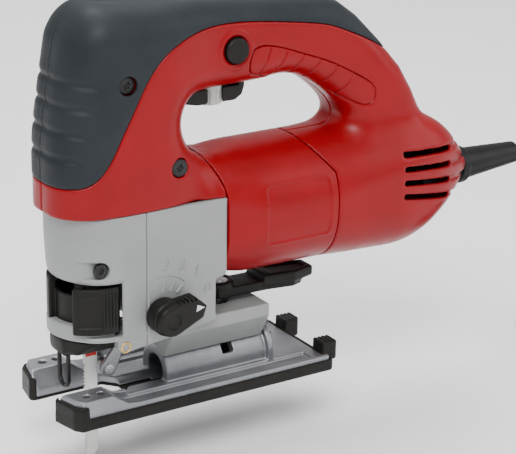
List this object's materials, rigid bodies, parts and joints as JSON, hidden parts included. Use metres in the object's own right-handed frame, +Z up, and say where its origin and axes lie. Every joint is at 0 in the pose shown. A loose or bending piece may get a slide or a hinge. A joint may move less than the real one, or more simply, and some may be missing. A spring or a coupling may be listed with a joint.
{
  "type": "jigsaw power tool",
  "caption": "Corded jigsaw with a top D-handle, orbital blade support, tool-free blade clamp and a bevelling shoe.",
  "frame": {"origin": "middle of the sole, on its lower face, on the plane of the blade", "axes": "+X to the rear, where the cord leaves; +Z up from the sole; the blade cuts towards -X"},
  "size_m": [0.4859, 0.1046, 0.247],
  "materials": {
    "red_shell": "moulded, satin gloss",
    "soft_grip": "soft overmould, fine texture",
    "grey_casting": "fine satin paint on a casting",
    "black_plastic": "moulded, fine texture",
    "dark_plastic": "moulded, fine texture",
    "silver_plastic": "satin silver",
    "black_steel": "black oxide",
    "steel": "ground",
    "lamination": "stacked sheet",
    "copper": "enamelled winding",
    "brass": "machined",
    "carbon": "pressed carbon",
    "blade_white": "white lacquer",
    "shoe_casting": "as cast",
    "cord_rubber": "smooth"
  },
  "bodies": {
    "housing": {"handle_shell_left": "red_shell", "handle_shell_right": "red_shell", "grip_left": "soft_grip", "grip_right": "soft_grip", "motor_housing": "red_shell", "gear_housing": "grey_casting", "front_cover": "grey_casting", "nose_guard": "black_plastic", "wire_guard": "black_steel", "shell_screws": "black_steel", "cover_screws": "black_steel", "gearcase_screws": "steel", "switch_body": "dark_plastic", "speed_module": "dark_plastic", "stator": "lamination", "field_coils": "copper", "brush_holders": "brass", "brushes": "carbon", "brush_springs": "steel", "front_bearing": "steel", "rear_bearing": "steel", "cord_clamp": "dark_plastic", "cord_protector": "cord_rubber", "gear_pin": "steel", "carrier_pins": "steel", "fork_pin": "steel", "cord_lead": "cord_rubber", "cord_coil": "cord_rubber", "plug_body": "cord_rubber", "plug_pins": "brass"},
    "armature": {"armature_shaft": "steel", "armature_core": "lamination", "armature_windings": "copper", "commutator": "copper", "fan": "black_plastic", "pinion": "steel"},
    "crank_gear": {"drive_gear": "steel", "crank_pin": "steel", "counterweight": "steel"},
    "carrier": {"plunger_carrier": "steel", "plunger_bushes": "brass"},
    "plunger": {"plunger_rod": "steel", "yoke": "steel", "clamp_body": "black_steel", "clamp_collar": "steel", "blade": "blade_white"},
    "fork": {"roller_fork": "steel", "roller_rivet": "steel"},
    "roller": {"guide_roller": "steel"},
    "selector": {"selector_knob": "black_plastic", "selector_shaft": "steel"},
    "clamp_lever": {"blade_lever": "black_plastic"},
    "trigger": {"trigger": "dark_plastic"},
    "dial": {"speed_dial": "silver_plastic"},
    "lock": {"lock_button": "black_plastic"},
    "shoe": {"shoe_base": "shoe_casting", "shoe_cover": "dark_plastic"},
    "bevel": {"bevel_lever": "black_plastic", "clamp_screw": "steel", "clamp_nut": "steel"}
  },
  "joints": [
    {"name": "crank_turn", "type": "hinge", "parent": "housing", "child": "crank_gear", "pos_m": [-0.038, 0, 0.1192], "axis": [1, 0, 0], "range_deg": [-90, 90]},
    {"name": "armature_turn", "type": "hinge", "parent": "housing", "child": "armature", "pos_m": [0.05, 0, 0.094], "axis": [1, 0, 0], "range_deg": [-720, 720]},
    {"name": "orbit_swing", "type": "hinge", "parent": "housing", "child": "fork", "pos_m": [-0.038, 0, 0.042], "axis": [0, 1, 0], "range_deg": [0, 6]},
    {"name": "carrier_swing", "type": "hinge", "parent": "housing", "child": "carrier", "pos_m": [-0.053, 0, 0.15], "axis": [0, 1, 0], "range_deg": [0, 1.08]},
    {"name": "stroke", "type": "slide", "parent": "carrier", "child": "plunger", "axis": [0, 0, 1], "range_m": [-0.01302, 0.01302]},
    {"name": "roller_spin", "type": "hinge", "parent": "fork", "child": "roller", "pos_m": [-0.04575, 0, 0.0184], "axis": [0, 1, 0], "continuous": true},
    {"name": "orbit_select", "type": "hinge", "parent": "housing", "child": "selector", "pos_m": [-0.0258, -0.03, 0.0526], "axis": [0, -1, 0], "range_deg": [0, 78]},
    {"name": "blade_release", "type": "hinge", "parent": "housing", "child": "clamp_lever", "pos_m": [-0.053, 0, 0.06], "axis": [0, 0, -1], "range_deg": [0, 60], "stiffness_Nm_per_rad": 0.05},
    {"name": "trigger_pull", "type": "hinge", "parent": "housing", "child": "trigger", "pos_m": [0.0005, 0, 0.1645], "axis": [0, -1, 0], "range_deg": [0, 5], "stiffness_Nm_per_rad": 2, "springref_deg": -2.86},
    {"name": "dial_turn", "type": "hinge", "parent": "trigger", "child": "dial", "pos_m": [0.0177, 0, 0.16], "axis": [0, 0, 1], "range_deg": [-135, 135]},
    {"name": "lock_push", "type": "slide", "parent": "housing", "child": "lock", "axis": [0, 1, 0], "range_m": [0, 0.0035], "stiffness_N_per_m": 500, "springref_m": -0.002},
    {"name": "bevel_tilt", "type": "hinge", "parent": "housing", "child": "shoe", "pos_m": [0, 0, 0.0095], "axis": [1, 0, 0], "range_deg": [-45, 45]},
    {"name": "bevel_clamp", "type": "hinge", "parent": "housing", "child": "bevel", "pos_m": [0.024, 0, 0.05], "axis": [0, 0, 1], "range_deg": [0, 60]}
  ],
  "couplings": [
    {"joint": "armature_turn", "follows": "crank_turn", "ratio": -8},
    {"joint": "stroke", "follows": "crank_turn", "m_per_rad": 0.008276},
    {"joint": "carrier_swing", "follows": "orbit_swing", "ratio": 0.179}
  ]
}
